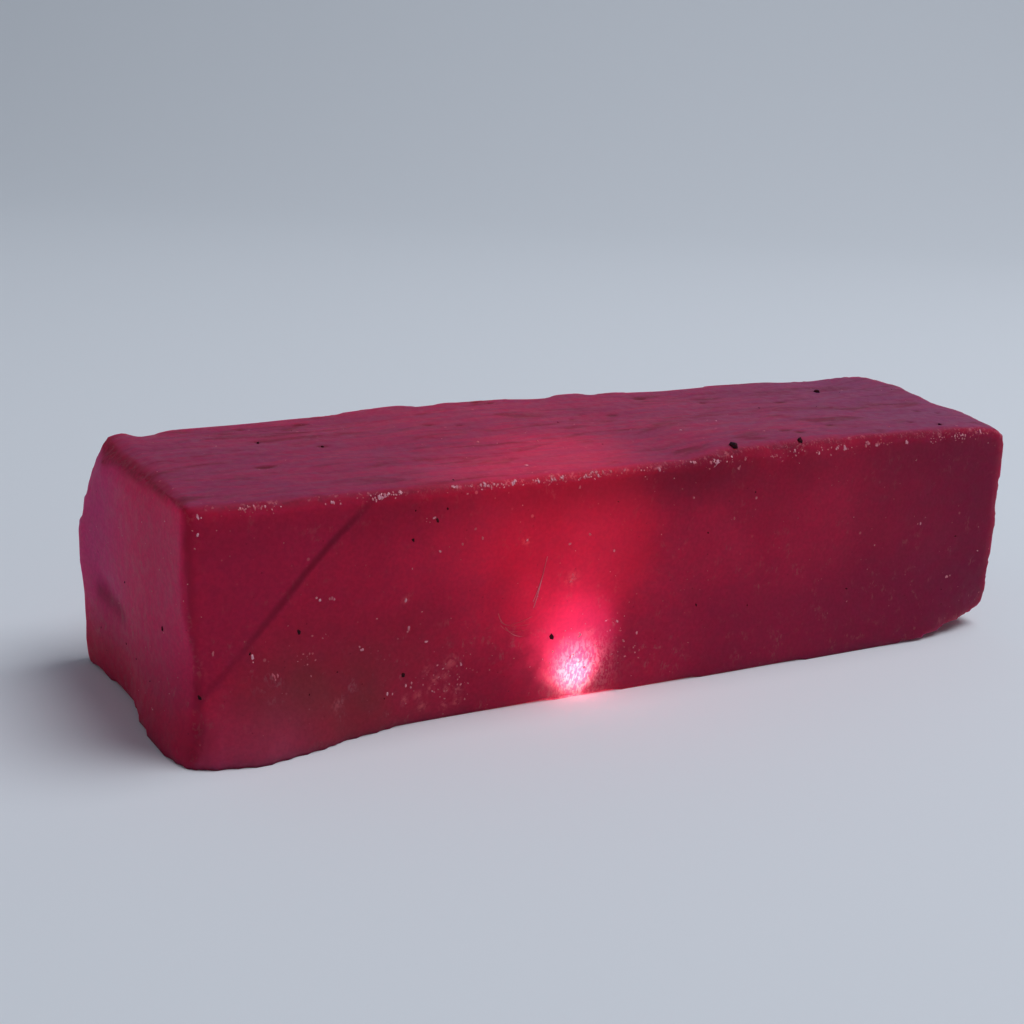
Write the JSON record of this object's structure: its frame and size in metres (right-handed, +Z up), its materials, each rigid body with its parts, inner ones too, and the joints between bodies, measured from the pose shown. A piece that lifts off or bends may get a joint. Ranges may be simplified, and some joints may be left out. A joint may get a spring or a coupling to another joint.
{
  "type": "rough ruby",
  "caption": "Long squared bar of rough ruby with frosted crimson faces, rounded and chipped edges and a flat base that it rests on.",
  "frame": {"origin": "middle of the stone's outline on the surface it rests on", "axes": "+X along the bar, towards its chamfered foot; -Y out of its long front face; +Z up"},
  "size_m": [0.1104, 0.0348, 0.027],
  "materials": {
    "ruby": "frosted, cloudy and translucent"
  },
  "bodies": {
    "root": {"ruby": "ruby"}
  },
  "joints": []
}
